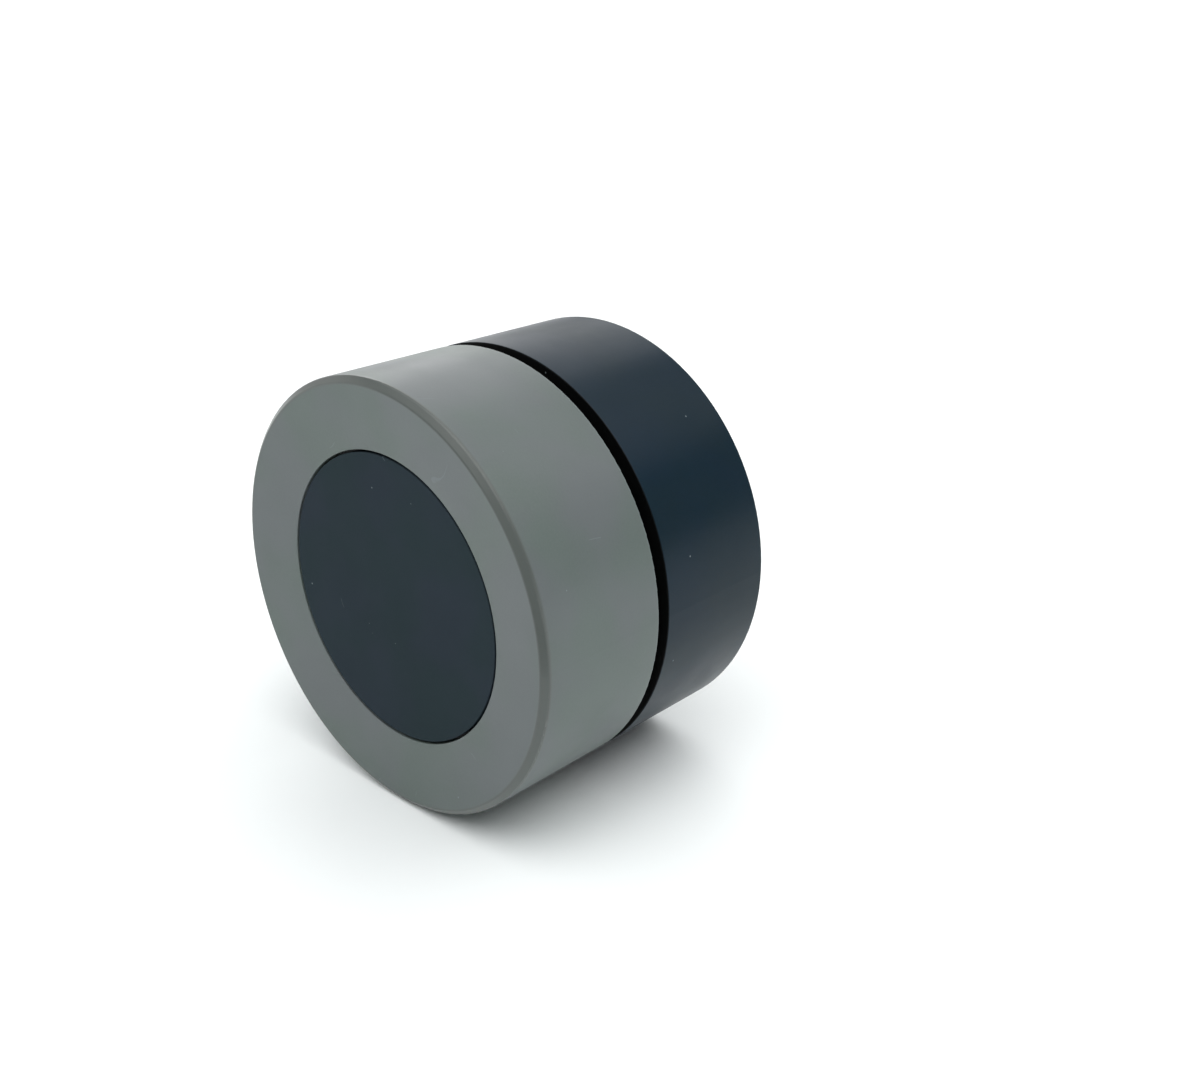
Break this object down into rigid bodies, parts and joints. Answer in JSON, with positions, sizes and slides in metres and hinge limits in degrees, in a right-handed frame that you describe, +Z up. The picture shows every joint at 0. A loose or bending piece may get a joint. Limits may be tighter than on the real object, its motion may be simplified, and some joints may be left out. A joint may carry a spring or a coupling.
{
  "type": "survey prism",
  "caption": "Round survey prism: a glass corner cube in a short dark canister, closed by a flush push-on grey cap with a dark centre disc.",
  "frame": {"origin": "centre of the threaded mount's mouth, in the flat rear face", "axes": "+Y out of the rear mounting thread, -Y along the optical axis out of the front, +Z up; the round body lies on its side, 30 mm below the axis"},
  "size_m": [0.06, 0.0418, 0.06],
  "materials": {
    "cap_soft_grey": "soft-touch satin",
    "disc_dark": "fine matte",
    "body_dark_paint": "satin",
    "black_plastic": "matte",
    "black_tape": "matte",
    "pad_felt": "felt",
    "black_rubber": "matte",
    "black_anodised": "black anodised",
    "prism_glass": "polished",
    "spring_steel": "bright",
    "brass": "turned",
    "screw_steel": "black oxide"
  },
  "bodies": {
    "canister": {"stop_ring": "black_rubber", "prism_barrel": "black_anodised", "barrel_seal": "black_rubber", "corner_cube": "prism_glass", "prism_cup": "black_plastic", "front_gasket": "black_rubber", "retaining_ring": "black_anodised", "disc_spring": "spring_steel", "spring_washer": "spring_steel", "body_shell": "body_dark_paint", "rear_plate": "body_dark_paint", "plate_seal": "black_rubber", "thread_insert": "brass", "plate_screws": "screw_steel"},
    "cap_grip": {"grip_ring_front": "black_rubber", "grip_ring_rear": "black_rubber"},
    "cap": {"cap_shell": "cap_soft_grey", "cap_liner": "black_plastic", "cap_disc": "disc_dark", "disc_tape": "black_tape", "cap_pad": "pad_felt"}
  },
  "joints": [
    {"name": "cap_turn", "type": "hinge", "parent": "canister", "child": "cap_grip", "pos_m": [0, -0.0286, 0], "axis": [0, 1, 0], "continuous": true},
    {"name": "cap_pull", "type": "slide", "parent": "cap_grip", "child": "cap", "axis": [0, -1, 0], "range_m": [0, 0.03]}
  ]
}
